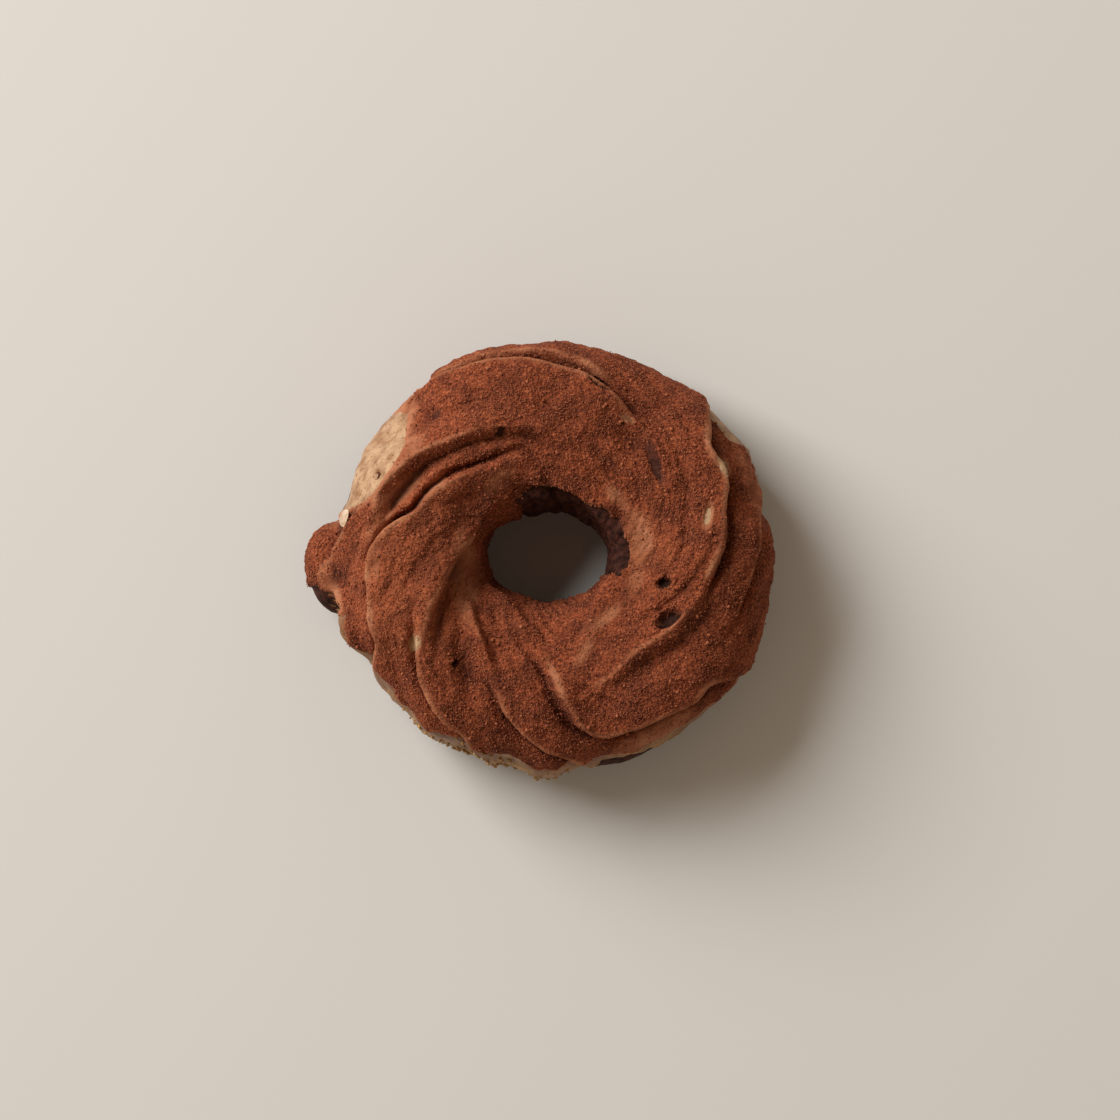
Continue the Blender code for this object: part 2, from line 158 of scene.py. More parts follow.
# A shallow hollow: its bearing, distance from the axis, half length, half width and depth in mm, and its
# heading in degrees counter-clockwise from +X
Dent = namedtuple("Dent", "name bearing distance half_length half_width depth heading")
DENTS = (
    Dent("curl_hollow", 156.5, 29.9, 5.6, 1.6, 1.6, 42),
    Dent("crown_hollow", 132, 35.0, 3.2, 2.2, 0.7, 30),
    Dent("crown_valley", 91, 28.8, 4.0, 1.4, 0.6, 50),
    Dent("west_slope", 190, 17.0, 6.0, 3.2, 1.6, 135),
    Dent("north_slope", 148, 19.5, 5.0, 3.0, 1.0, 60),
    Dent("valley", 52, 24.5, 7.0, 2.4, 1.3, 130),
    Dent("bubble_valley", 331, 22.6, 4.5, 2.2, 0.8, 40),
    Dent("south_west_valley", 229, 26.0, 8.0, 2.6, 1.7, 104),
)

# A burst bubble, an open pit in the crust, given the same way
PITS = (
    Dent("burst_bubble", 331, 23.6, 2.5, 1.35, 1.9, 32),
    Dent("small_bubble", 346, 20.5, 1.35, 0.9, 1.3, 10),
    Dent("pin_hole", 227, 27.1, 0.8, 0.6, 1.0, 70),
    Dent("curl_slot", 155.6, 36.3, 0.9, 0.5, 1.0, 75),
    Dent("crease_slot", 76, 32.8, 1.7, 0.6, 1.3, 150),
)

# A chip of crust that lies on the west side: the share by which it leans with the surface, how far it
# stands off it and how much it rolls over. As shares of its depth: how thin it is, how far its ends droop
# and its sides turn up, and how high it is raised.
CHIP = Dent("chip", 169.9, 39.3, 1.9, 0.9, 0.5, 58)
CHIP_STEEPNESS = 0.6
CHIP_CLEARANCE = 0.5 * MM
CHIP_ROLL = 0.35
CHIP_THINNESS = 0.5
CHIP_DROOP = 0.5
CHIP_CUPPING = 0.6
CHIP_RAISE = 0.6


def hole_radius(bearing):
    """Distance from the axis to the hole's wall, an ellipse whose centre is off the axis."""
    cos, sin = np.cos(bearing), np.sin(bearing)
    square = (cos / HOLE_HALF_LENGTH) ** 2 + (sin / HOLE_HALF_WIDTH) ** 2
    linear = -HOLE_SHIFT * cos / HOLE_HALF_LENGTH**2
    rest = (HOLE_SHIFT / HOLE_HALF_LENGTH) ** 2 - 1
    return (-linear + np.sqrt(linear**2 - square * rest)) / square


def rim_radius(bearing):
    """Distance from the axis to the rim, with its swells."""
    radius = RIM_RADIUS
    for swell_bearing, half_angle, swell in RIM_SWELLS:
        apart = bearing - math.radians(swell_bearing)
        apart = np.arctan2(np.sin(apart), np.cos(apart))
        radius = radius + swell * MM * np.exp(-((apart / math.radians(half_angle)) ** 2))
    return radius


def ring_point(bearing, turn):
    """The plain ring's surface."""
    inner, outer = hole_radius(bearing), rim_radius(bearing)
    middle, half = (outer + inner) / 2, (outer - inner) / 2
    away = middle + half * np.cos(turn)
    lift = np.abs(np.sin(turn))
    above = CROWN_RISE * lift**CROWN_FULLNESS
    below = -(WAIST_HEIGHT + BASE_SINK) * lift**BASE_FULLNESS
    height = np.maximum(WAIST_HEIGHT + np.where(np.sin(turn) > 0, above, below), 0.0)
    return np.stack([away * np.cos(bearing), away * np.sin(bearing), height], axis=-1)


def unit(vectors):
    return vectors / np.maximum(np.linalg.norm(vectors, axis=-1, keepdims=True), 1e-12)


def ring_normal(bearing, turn):
    along = ring_point(bearing + SLOPE_STEP, turn) - ring_point(bearing - SLOPE_STEP, turn)
    across = ring_point(bearing, turn + SLOPE_STEP) - ring_point(bearing, turn - SLOPE_STEP)
    return unit(np.cross(along, across))


def smooth_route(points):
    """A Catmull-Rom curve through the points."""
    padded = np.vstack([2 * points[0] - points[1], points, 2 * points[-1] - points[-2]])
    found = []
    for a, b, c, d in zip(padded, padded[1:], padded[2:], padded[3:]):
        for step in range(STEPS_PER_STRETCH):
            t = step / STEPS_PER_STRETCH
            found.append(0.5 * (2 * b + (c - a) * t + (2 * a - 5 * b + 4 * c - d) * t**2
                                + (3 * b - a - 3 * c + d) * t**3))
    return np.vstack([found, points[-1]])


def turn_at(bearing, away):
    """The turn over the crown at which the plain ring lies this far from the axis."""
    inner, outer = hole_radius(bearing), rim_radius(bearing)
    return np.arccos(np.clip((2 * away - outer - inner) / (outer - inner), -0.99, 0.99))


def crest_of(fold):
    """Points of a fold's crest on the plain ring, the ring's normals there, and the fold's heights."""
    route = np.array(fold.route, float) * (math.radians(1), MM, MM)
    route[:, 1] = turn_at(route[:, 0], route[:, 1])
    if fold.from_hole:
        on, turn = np.radians(RUN_INTO_HOLE)
        route = np.vstack([(route[0, 0] + on, turn, 0), route])
    if fold.over_rim:
        on, turn = np.radians(RUN_OVER_RIM)
        route = np.vstack([route, (route[-1, 0] + on, turn, 0)])
    bearing, turn, lift = smooth_route(route).T
    return ring_point(bearing, turn), ring_normal(bearing, turn), np.maximum(lift, 0.0)


def beside(points, crest, normals, lifts):
    """Signed distance of each point from a crest, positive on its right, the crest's height there, and the
    direction to its right."""
    best = np.full(len(points), np.inf)
    side = np.zeros(len(points))
    lift = np.zeros(len(points))
    right = np.zeros((len(points), 3))
    for i in range(len(crest) - 1):
        run = crest[i + 1] - crest[i]
        share = np.clip((points - crest[i]) @ run / (run @ run), 0, 1)
        offset = points - crest[i] - share[:, None] * run
        distance = np.linalg.norm(offset, axis=1)
        aside = unit(np.cross(run, normals[i]))
        nearer = distance < best
        best[nearer] = distance[nearer]
        side[nearer] = (distance * np.where(offset @ aside > 0, 1, -1))[nearer]
        lift[nearer] = (lifts[i] + share * (lifts[i + 1] - lifts[i]))[nearer]
        right[nearer] = aside
    return side, lift, right


def fold_relief(points, fold):
    """A fold's height over the plain ring at each point, the crease at its foot, and how its lip leans."""
    crest, normals, lifts = crest_of(fold)
    side, lift, right = beside(points, crest, normals, lifts)
    front = side / (fold.lead * CRISPNESS * MM)
    lead = np.exp(-(front**2))
    trail = np.exp(-(np.abs(side / (fold.trail * MM)) ** TRAIL_POWER))
    height = lift * np.where(side > 0, lead, trail)
    crease = lift * fold.crease * np.exp(-(((front - CREASE_PLACE) / CREASE_WIDTH) ** 2))
    lean = lift / lifts.max() * fold.curl * MM * lead
    return height, crease, lean[:, None] * right


def centre_of(spot):
    """The centre of a dent or patch, seen from above."""
    bearing = math.radians(spot.bearing)
    return spot.distance * MM * np.array([math.cos(bearing), math.sin(bearing)])


def within(points, spot):
    """How far along and across a dent or patch each point lies, as shares of its half length and width."""
    heading = math.radians(spot.heading)
    offset = points[:, :2] - centre_of(spot)
    along = offset @ np.array([math.cos(heading), math.sin(heading)]) / (spot.half_length * MM)
    across = offset @ np.array([-math.sin(heading), math.cos(heading)]) / (spot.half_width * MM)
    return along, across


def dent_relief(points, dent):
    """A hollow's depth at each point, seen from above."""
    along, across = within(points, dent)
    on_top = points[:, 2] > WAIST_HEIGHT
    return dent.depth * MM * np.exp(-(along**2) - across**2) * on_top


def waves(points):
    """The dough's unevenness."""
    height = 0.0
    for i, length in enumerate(WAVE_LENGTHS):
        turned = points * (math.tau / length)
        height = height + (np.sin(turned[:, 0] + 2.1 * i) * np.sin(turned[:, 1] + 1.3 * i + 0.5)
                           + np.sin(turned[:, 2] + turned[:, 1] * 0.6 + i))
    return height * WAVE_HEIGHT / len(WAVE_LENGTHS)


def with_tail(points):
    """The points moved out to the tail where it stands out of the ring."""
    bearing = math.radians(TAIL_BEARING)
    out = np.array([math.cos(bearing), math.sin(bearing), 0.0])
    aside = np.array([-math.sin(bearing), math.cos(bearing), 0.0])
    away = points @ out
    above = (points[:, 2] - TAIL_HEIGHT) / TAIL_HALF_HEIGHT
    inside = 1 - (points @ aside / TAIL_HALF_WIDTH) ** 2 - above**2
    blob = TAIL_DISTANCE + TAIL_LENGTH * np.sqrt(np.clip(inside, 0, 1))
    gain = blob - away
    gain = TAIL_JOIN * np.log1p(np.exp(np.clip(gain / TAIL_JOIN, -30, 30)))
    faces_out = (inside > 0) & (away > TAIL_FROM * RIM_RADIUS)
    return points + np.where(faces_out, gain * np.clip(inside / TAIL_SHOULDER, 0, 1), 0.0)[:, None] * out


def cruller_surface(bearing, turn):
    """The folded ring's surface."""
    points, normals = ring_point(bearing, turn), ring_normal(bearing, turn)
    heights, creases, lean = 0.0, 0.0, 0.0
    for fold in FOLDS:
        height, crease, leaning = fold_relief(points, fold)
        heights = heights + height**MEETING_SHARPNESS
        creases = np.maximum(creases, crease)
        lean = lean + leaning
    height = heights ** (1 / MEETING_SHARPNESS) - creases + waves(points)
    for dent in DENTS:
        height = height - dent_relief(points, dent)
    above_base = np.clip(points[:, 2] / FADE_HEIGHT, 0, 1)[:, None]
    moved = with_tail(points + above_base * (normals * height[:, None] + lean))
    moved[:, 2] = np.maximum(moved[:, 2], 0.0)
    return moved


# The finer mesh of the looks. Its lines twist round the ring with the folds, most at one bearing, and lie
# closer on the crown. Its folds have steeper fronts than the part's, by a share.
SECTIONS = 600
SECTION_POINTS = 220
DOUGH_SECTIONS = 480
DOUGH_SECTION_POINTS = 130
TWIST = math.radians(64)
MORE_TWIST = math.radians(14)
MOST_TWISTED = math.radians(20)
CROWN_DENSITY = 0.4
CRISPNESS = 0.55

# Noise with a height, the size of its largest lumps, a number of octaves and a seed of its own. In each
# octave the lumps are half as large and weaker by a share.
Unevenness = namedtuple("Unevenness", "height size octaves seed")
OCTAVE_WEIGHT = 0.6
OCTAVE_SEEDS = 11

# Wrinkles along the folds, how much they are stretched, how far up from the base they fade in, and the
# radius at which their size is true
WRINKLES = Unevenness(0.62 * MM, 5.5 * MM, 3, 61)
WRINKLE_STRETCH = 0.4
WRINKLE_FADE = 5 * MM
MIDDLE_RADIUS = 0.7 * RIM_RADIUS

# Relief of the layers. The chip's is a share of its size.
GLAZE_LUMPS = Unevenness(1, 1.8 * MM, 3, 31)
COCOA_CLODS = Unevenness(0.3 * MM, 2.4 * MM, 2, 41)
COCOA_CRUMBLE = Unevenness(0.22 * MM, 0.7 * MM, 1, 47)
DOUGH_PORES = Unevenness(0.25 * MM, 2.2 * MM, 3, 51)
CHIP_UNEVENNESS = Unevenness(0.1, 0.8, 2, 71)

# How uneven the layers' edges are, in degrees of turn
GLAZE_EDGE_WAVES = Unevenness(9, 9 * MM, 2, 3)
GLAZE_EDGE_TEETH = Unevenness(5, 2.5 * MM, 2, 7)
LIP_EDGE_WAVES = Unevenness(5, 3 * MM, 2, 5)
COCOA_EDGE_WAVES = Unevenness(9, 4 * MM, 3, 13)

# How uneven the layers are in the thickness of their cover
BARE_DOUGH_WAVES = Unevenness(0.25, 2.5 * MM, 2, 9)
COCOA_RAGS = Unevenness(1, 1.6 * MM, 3, 21)
COCOA_DRIFTS = Unevenness(1, 7 * MM, 2, 23)
HOLLOW_RAGS = Unevenness(0.35, 1.2 * MM, 2, 27)

# How steeply a patch fades out, a burst bubble's reach and its wall's width, as shares of its size, and the
# least part of the surface's normal that points up where a bubble may lie
PATCH_EDGE = 1.5
PIT_REACH = 1.25
PIT_WALL = 0.5
LEAST_PIT_SLOPE = 0.1

# A fold's lip, where the cocoa is thin: its half width, and the fold's heights between which it comes in
LIP_WIDTH = 0.75 * MM
LIP_HEIGHTS = (0.8 * MM, 2.2 * MM)

# Layers, as heights over the part's surface: the dough lies under the glaze, and the cocoa over it
DOUGH_SINK = 0.45 * MM
GLAZE_LEVEL = -0.1 * MM
GLAZE_DROP = 0.6 * MM
COCOA_LEVEL = 0.06 * MM
COCOA_DROP = 0.3 * MM

# Where the glaze stops in the hole, as a turn in degrees
HOLE_EDGE = 196.0

# A patch on the top: its bearing, distance from the axis, half length and half width in mm, its heading in
# degrees counter-clockwise from +X, and its strength
Patch = namedtuple("Patch", "bearing distance half_length half_width heading strength")

# Glaze that has no cocoa on it
BARE_PATCHES = (
    Patch(151.7, 38.4, 11.2, 3.3, 56, 1.6),
    Patch(212, 30.6, 1.5, 0.9, 70, 1.25),
    Patch(14.7, 28.8, 3.0, 1.1, 80, 0.88),
    Patch(28, 35.2, 2.3, 1.0, 115, 0.95),
    Patch(62.5, 28.4, 1.5, 0.6, 160, 0.95),
)

# Glaze with only a thin, smooth film of cocoa
FILM_PATCHES = (
    Patch(152, 34.6, 10.5, 2.4, 44, 1.3),
    Patch(157, 31.0, 6.5, 2.2, 39, 1.2),
    Patch(168, 33.0, 4.5, 2.0, 60, 1.2),
    Patch(182, 33.0, 6.0, 0.8, 92, 0.7),
    Patch(152, 25.9, 5.0, 1.5, 48, 1.1),
    Patch(13, 15.5, 6.0, 3.4, 98, 1.3),
    Patch(40, 15.5, 4.0, 1.8, 130, 0.9),
    Patch(312, 14.6, 6.0, 1.5, 38, 0.75),
    Patch(286, 18.5, 4.0, 1.2, 60, 0.8),
    Patch(130, 17.5, 6.0, 2.0, 45, 0.7),
    Patch(190, 17.0, 10.0, 3.2, 95, 1.1),
    Patch(240, 14.5, 6.0, 2.0, 150, 0.6),
    Patch(22, 38.4, 11.0, 1.8, 112, 0.8),
    Patch(300, 37.2, 11.0, 2.6, 29, 1.2),
    Patch(340, 15.5, 5.0, 1.8, 70, 0.8),
    Patch(76, 34.4, 3.5, 1.2, 145, 0.9),
    Patch(192, 41.8, 8.0, 1.2, 103, 1.2),
    Patch(212, 30.6, 3.2, 1.8, 62, 1.1),
)

# Where the cocoa stops over the rim, as a turn in degrees at each bearing in degrees
COCOA_EDGES = (
    (0, -8), (12, 8), (22, 18), (34, 22), (46, 12), (58, -8), (80, -14), (130, -14), (165, -12),
    (190, -10), (197, 24), (215, 27), (232, 27), (245, 33), (262, 30), (275, 26), (290, 24), (305, 20),
    (318, 18), (326, 10), (335, -8), (350, -12),
)

# Where the glaze stops over the rim, given the same way
GLAZE_EDGES = (
    (0, -14), (143, -14), (150, 6), (158, 15), (165, 15), (171, -8), (180, -14), (272, -14), (280, 8),
    (292, 12), (301, 2), (308, -14),
)

# Dough that shows under the tail
BARE_DOUGH = (
    Patch(193, 45.0, 5.0, 3.0, 130, 1.6),
)

# The hole's bare wall: the bearing it faces, how far to each side of it the glaze stops short at the lip
# and then comes down, in degrees, and the turn at which it stops at the lip
BARE_WALL = math.radians(54)
BARE_WALL_HALF = 62
BARE_WALL_END = 22
LIP_EDGE = 134.0

# How sharply the layers' edges come in, in degrees of turn
GLAZE_EDGE_HALF = 3
COCOA_EDGE_FADE = (-1.5, 4)

# Bare dough shows where its patches are this strong, at turns from the first to the second
BARE_DOUGH_SHOWS = (0.4, 0.7)
BARE_DOUGH_TURNS = (-32, -16)

# How thick the cocoa lies, and what thins it: films, drifts and steep walls, with ragged edges. Lips are
# thinned as films are. Near the edges of the glaze and of the cocoa it fades from the most to none.
COCOA_THICKNESS = 1.05
COCOA_MOST = 1.2
FILM_THINS = 0.45
DRIFT_THINS = 0.15
STEEP_THINS = 0.2
LIP_FILM = 0.95
RAGGED_BARE = 0.25
RAGGED_FILM = 0.5
RAGGED_COVER = 0.12
DRIFT_FROM_TO = (-0.05, 0.5)
STEEP_FROM_TO = (-0.2, 0.6)
GLAZE_HOLDS_COCOA = (0.35, 0.8)

# Thicknesses of cocoa at which it shows, and at which it is no longer thin
COCOA_SHOWS = (0.22, 0.4)
COCOA_IS_FULL = (0.45, 0.85)
THIN_IS_SMOOTHER = 0.7

# Low on the walls, from the first of these heights down to the second, the glaze turns yellow and lumpier.
# The lumps are in mm. Where it ends, between two covers, it and the cocoa on it sink away.
LOW_GLAZE = (-20 * MM, -13 * MM)
GLAZE_LUMP = 0.12
LOW_GLAZE_LUMP = 0.3
GLAZE_ENDS = (0.25, 0.75)

# How wide a valley is, in the mesh's sections and points, and how deep it starts to get painted shade and is
# fully shaded
VALLEY_SECTIONS = 9
VALLEY_POINTS = 9
VALLEY_START = 0.3 * MM
VALLEY_FULL = 1.3 * MM

# Small hollows in the cocoa, dark with the dough that shows and with painted shade, how deep they are, and
# the strengths between which they come in
HOLLOW_DEPTH = 0.5 * MM
HOLLOW_FROM_TO = (0.3, 0.8)
HOLLOWS = (
    Patch(114.4, 24.9, 1.4, 0.8, 40, 0.9),
    Patch(130, 34.2, 1.4, 0.9, 60, 0.8),
    Patch(45, 25.4, 6.5, 1.3, 110, 0.8),
)

# Where crumbs of glaze lie, where the glaze is yellower, and where it is paler: partly its own colour, partly
# a painted highlight on its glossy bare spots
CRUMB_PATCHES = (
    Patch(250, 40.4, 9.0, 1.8, 160, 1.0),
    Patch(232, 40.4, 4.0, 1.2, 140, 0.5),
    Patch(268, 41.0, 4.0, 1.2, 178, 0.5),
)
YELLOW_PATCHES = (
    Patch(248, 40.0, 16.0, 8.0, 158, 1.0),
    Patch(212, 40.0, 14.0, 5.0, 122, 0.8),
    Patch(290, 40.0, 14.0, 4.0, 20, 0.7),
    Patch(38, 40.0, 14.0, 4.0, 128, 0.8),
)
PALE_AND_HIGHLIGHT_PATCHES = (
    Patch(151.7, 37.5, 16.0, 9.0, 56, 1.0),
    Patch(14.7, 28.8, 5.0, 3.0, 80, 1.2),
    Patch(28, 35.2, 4.0, 2.5, 115, 1.0),
    Patch(212, 30.4, 3.0, 2.5, 70, 1.2),
)

# Painted light: where the cocoa is made lighter, on lobes whose slopes face the lamp
PAINTED_LIGHT_PATCHES = (
    Patch(184, 27.5, 15.0, 8.0, 92, 1.8),
    Patch(153, 26.5, 9.0, 3.0, 48, 0.8),
    Patch(2, 18.5, 7.0, 4.0, 95, 0.7),
)

# How far the bare dough of the hole's wall swells out, and how far down the surface faces where the dough
# comes up to it on the underside
WALL_SWELL = 0.5 * MM
UNDERSIDE = (-0.9, -0.5)

# Colours of the cocoa: as it lies, its dark and light specks, its lighter patches of painted light, its
# palest grains, and where it is thin
COCOA = (0.27, 0.059, 0.02)
COCOA_DARK = (0.11, 0.025, 0.011)
COCOA_LIGHT = (0.45, 0.135, 0.054)
COCOA_LIT = (0.36, 0.095, 0.037)
COCOA_PALE = (0.42, 0.13, 0.053)
COCOA_THIN = (0.46, 0.19, 0.095)
COCOA_FILM = (0.32, 0.1, 0.042)

# Colours of the glaze: as it lies, where it is yellower, paler or browner, and the chip's cream
GLAZE = (0.31, 0.155, 0.07)
GLAZE_PALE = (0.51, 0.325, 0.185)
GLAZE_BROWN = (0.22, 0.10, 0.035)
GLAZE_YELLOW = (0.46, 0.26, 0.07)
CREAM = (0.7, 0.53, 0.39)
GLAZE_TAN = (0.36, 0.175, 0.085)
GLAZE_DARK = (0.17, 0.07, 0.033)

# Colours of the bubbles' insides, darker than the dough by painted shade, and of the dough
PIT_SHADE = (0.05, 0.014, 0.007)
PIT_DEEP_SHADE = (0.012, 0.005, 0.003)
DOUGH = (0.085, 0.028, 0.018)
DOUGH_DARK = (0.022, 0.009, 0.007)

# Tints that darken other colours: none, in the cocoa's drifts, painted shade in its valleys, and on the
# glaze's specks. Last is the floor's colour.
WHITE = (1.0, 1.0, 1.0)
DRIFT_TINT = (0.52, 0.5, 0.53)
VALLEY_SHADE = (0.45, 0.42, 0.44)
SPECK_TINT = (0.5, 0.34, 0.28)
FLOOR = (0.74, 0.72, 0.69)

# Loose grains: how many, their radii from the smallest to the largest, how rough each is, and the seed.
# They stray from their places by mm, and are lifted and stretched by shares of their size.
Grains = namedtuple("Grains", "name count smallest largest roughness seed")
DUST = Grains("cocoa_dust", 20000, 0.08 * MM, 0.13 * MM, 0.2, 1)
GRAINS = Grains("cocoa_grains", 24500, 0.12 * MM, 0.2 * MM, 0.2, 2)
CLUMPS = Grains("cocoa_clumps", 700, 0.16 * MM, 0.32 * MM, 0.12, 3)
CRUMBS = Grains("glaze_crumbs", 260, 0.14 * MM, 0.38 * MM, 0.3, 4)
GRAIN_STRAY = 0.1
GRAIN_LIFT = 0.25
GRAIN_STRETCH = 0.3

# Where grains lie: over these heights, on surfaces that face up enough, with fewer in valleys and hollows
GRAIN_HEIGHT = 3 * MM
CRUMB_HEIGHT = 2 * MM
GRAIN_SLOPES = (0.05, 0.75)
GRAIN_GLAZE = (0.3, 0.8)
LEAST_COVER = 0.02
VALLEY_LOSS = 0.6
HOLLOW_LOSS = 0.8

# The large soft lamp: its place, size in metres, power in watts and colour
WINDOW_PLACE = (-1.23, 0.94, 1.09)
WINDOW_SIZE = 1.1
WINDOW_POWER = 42.0
WINDOW_COLOUR = (1.0, 0.985, 0.97)

# The light from all round, which is weaker from overhead
ROOM = (0.43, 0.355, 0.27)
OVERHEAD = (0.08, 0.065, 0.05)

# The camera looks straight down, from a place a little off the ring's axis
LENS = 126.6
SENSOR = 36.0
CAMERA_HEIGHT = 0.75
CAMERA_ASIDE = 0.75 * MM


# Large primes that mix a cell's whole numbers and the seed, and the bits that are kept
CELL_PRIMES = (73856093, 19349663, 83492791)
SEED_PRIME = 2654435761
MIXING_PRIME = 1274126177
KEPT_BITS = 0xFFFFFFFF
SHARE_BITS = 0xFFFFFF


def hash_noise(cells, seed):
    """A number from 0 to 1 for each whole cell."""
    x, y, z = (cells[..., i].astype(np.int64) * prime for i, prime in enumerate(CELL_PRIMES))
    mixed = x ^ y ^ z ^ (seed * SEED_PRIME)
    mixed = (mixed ^ (mixed >> 13)) & KEPT_BITS
    mixed = (mixed * MIXING_PRIME) & KEPT_BITS
    mixed = mixed ^ (mixed >> 16)
    return (mixed & SHARE_BITS) / float(SHARE_BITS)


def noise(points, size, seed):
    """Smooth noise from -1 to 1, with lumps about this far apart."""
    scaled = points / size
    base = np.floor(scaled)
    share = scaled - base
    share = share * share * (3 - 2 * share)
    total = 0.0
    for corner in np.ndindex(2, 2, 2):
        corner = np.array(corner)
        weight = np.prod(np.where(corner == 1, share, 1 - share), axis=-1)
        total = total + weight * hash_noise(base + corner, seed + SEED)
    return 2 * total - 1


def rough_noise(points, size, octaves, seed):
    """Noise from -1 to 1, with finer lumps on its lumps."""
    total, weight, weights = 0.0, 1.0, 0.0
    for octave in range(octaves):
        total = total + weight * noise(points, size / 2**octave, seed + OCTAVE_SEEDS * octave)
        weights += weight
        weight *= OCTAVE_WEIGHT
    return total / weights


def uneven(points, unevenness):
    height, size, octaves, seed = unevenness
    return height * rough_noise(points, size, octaves, seed)


def ramp(values, low, high):
    """From 0 at low to 1 at high, smoothly."""
    share = np.clip((values - low) / (high - low), 0, 1)
    return share * share * (3 - 2 * share)


def patch_strength(points, patches):
    """The strongest patch at each point, seen from above. Each fades out round its centre."""
    strength = np.zeros(len(points))
    for patch in patches:
        along, across = within(points, patch)
        strength = np.maximum(strength, patch.strength * np.exp(-((along**2 + across**2) ** PATCH_EDGE)))
    return strength


def fold_lips(points):
    """How near each point of the plain ring is to a fold's lip, from 0 to 1."""
    lips = np.zeros(len(points))
    for fold in FOLDS:
        if fold.name.startswith("hole_lip"):
            continue
        crest, normals, lifts = crest_of(fold)
        side, lift, _ = beside(points, crest, normals, lifts)
        lips = np.maximum(lips, ramp(lift, *LIP_HEIGHTS) * np.exp(-((side / LIP_WIDTH) ** 2)))
    return lips


class Ring:
    """The folded ring's surface on a fine mesh, with what the layers need to know at each of its points."""

    def __init__(self, sections, section_points):
        self.mesh = ring_mesh(sections, section_points)
        self.shape = (sections, section_points)
        section, point = np.indices(self.shape).reshape(2, -1)
        turn = math.tau * point / section_points
        turn = np.arctan2(np.sin(turn), np.cos(turn))
        turn = turn + CROWN_DENSITY * np.cos(turn)
        bearing = math.tau * section / sections
        twist = TWIST + MORE_TWIST * np.cos(bearing - MOST_TWISTED)
        self.bearing = bearing + twist * np.cos(turn)
        self.turn = turn
        self.plain = ring_point(self.bearing, turn)
        self.points = cruller_surface(self.bearing, turn)
        self.lips = fold_lips(self.plain)
        self.normals = normals_of(self.mesh, self.points)
        wrinkles = uneven(along_folds(bearing, turn), WRINKLES)
        self.points += self.normals * (wrinkles * ramp(self.points[:, 2], 0, WRINKLE_FADE))[:, None]
        self.normals = normals_of(self.mesh, self.points)

    def round(self):
        """The turn in degrees, from -180 at the base over 0 at the rim and 180 at the hole."""
        return np.degrees(np.arctan2(np.sin(self.turn), np.cos(self.turn)))


def along_folds(bearing, turn):
    """Places in which the folds run straight up, for noise that runs along them. The bearing is the untwisted
    one."""
    up = turn * (RIM_RADIUS - HOLE_HALF_WIDTH) / 2 * WRINKLE_STRETCH
    return np.stack([MIDDLE_RADIUS * np.cos(bearing), MIDDLE_RADIUS * np.sin(bearing), up], axis=-1)


def ring_mesh(sections, section_points):
    """Quads round a closed ring, whose points run round each section and then round the ring."""
    section, point = np.indices((sections, section_points)).reshape(2, -1)
    next_section, next_point = (section + 1) % sections, (point + 1) % section_points
    corners = np.stack([section * section_points + point, next_section * section_points + point,
                        next_section * section_points + next_point, section * section_points + next_point], 1)
    mesh = bpy.data.meshes.new("ring")
    mesh.vertices.add(sections * section_points)
    mesh.loops.add(corners.size)
    mesh.polygons.add(len(corners))
    mesh.loops.foreach_set("vertex_index", corners.ravel().astype(np.int32))
    mesh.polygons.foreach_set("loop_start", np.arange(0, corners.size, 4, dtype=np.int32))
    mesh.update(calc_edges=True)
    return mesh


def read(things, name, width, kind=float):
    values = np.empty(len(things) * width, kind)
    things.foreach_get(name, values)
    return values.reshape(-1, width) if width > 1 else values


def normals_of(mesh, points):
    mesh.vertices.foreach_set("co", points.ravel())
    mesh.update()
    return read(mesh.vertex_normals, "vector", 3)


def new_piece(name, mesh, points, material, keep=None, **shades):
    """An object of a mesh whose points move here. Faces with no kept point are left out, and each shade
    becomes a number at every point, for the material."""
    mesh = mesh.copy()
    mesh.name = name
    mesh.vertices.foreach_set("co", points.ravel())
    for shade, values in shades.items():
        attribute = mesh.attributes.new(shade, "FLOAT", "POINT")
        attribute.data.foreach_set("value", np.ascontiguousarray(values, dtype=np.float32))
    if keep is not None:
        drop_points(mesh, keep)
    mesh.materials.clear()
    mesh.materials.append(material)
    mesh.shade_smooth()
    piece = bpy.data.objects.new(name, mesh)
    piece.location = (AXIS_X, AXIS_Y, 0.0)
    bpy.context.scene.collection.objects.link(piece)
    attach(piece, "root")
    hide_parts("cruller")


def drop_points(mesh, keep):
    """Leaves out the faces that have no kept point."""
    model = bmesh.new()
    model.from_mesh(mesh)
    lost = [face for face in model.faces if not any(keep[vertex.index] for vertex in face.verts)]
    bmesh.ops.delete(model, geom=lost, context="FACES")
    model.to_mesh(mesh)
    model.free()


def pit_depth(points, up):
    """How deep the burst bubbles are, and how much of one each point is in, from 0 to 1."""
    depth, inside = np.zeros(len(points)), np.zeros(len(points))
    for pit in PITS:
        along, across = within(points, pit)
        share = ramp(PIT_REACH - np.hypot(along, across), 0, PIT_WALL) * (up > LEAST_PIT_SLOPE)
        depth = np.maximum(depth, share * pit.depth * MM)
        inside = np.maximum(inside, share)
    return depth, inside


def hole_edge(bearing):
    """The turn, in degrees, at which the glaze stops in the hole."""
    apart = np.degrees(np.abs(np.arctan2(np.sin(bearing - BARE_WALL), np.cos(bearing - BARE_WALL))))
    bare = 1 - ramp(apart, BARE_WALL_HALF, BARE_WALL_HALF + BARE_WALL_END)
    return HOLE_EDGE - (HOLE_EDGE - LIP_EDGE) * bare


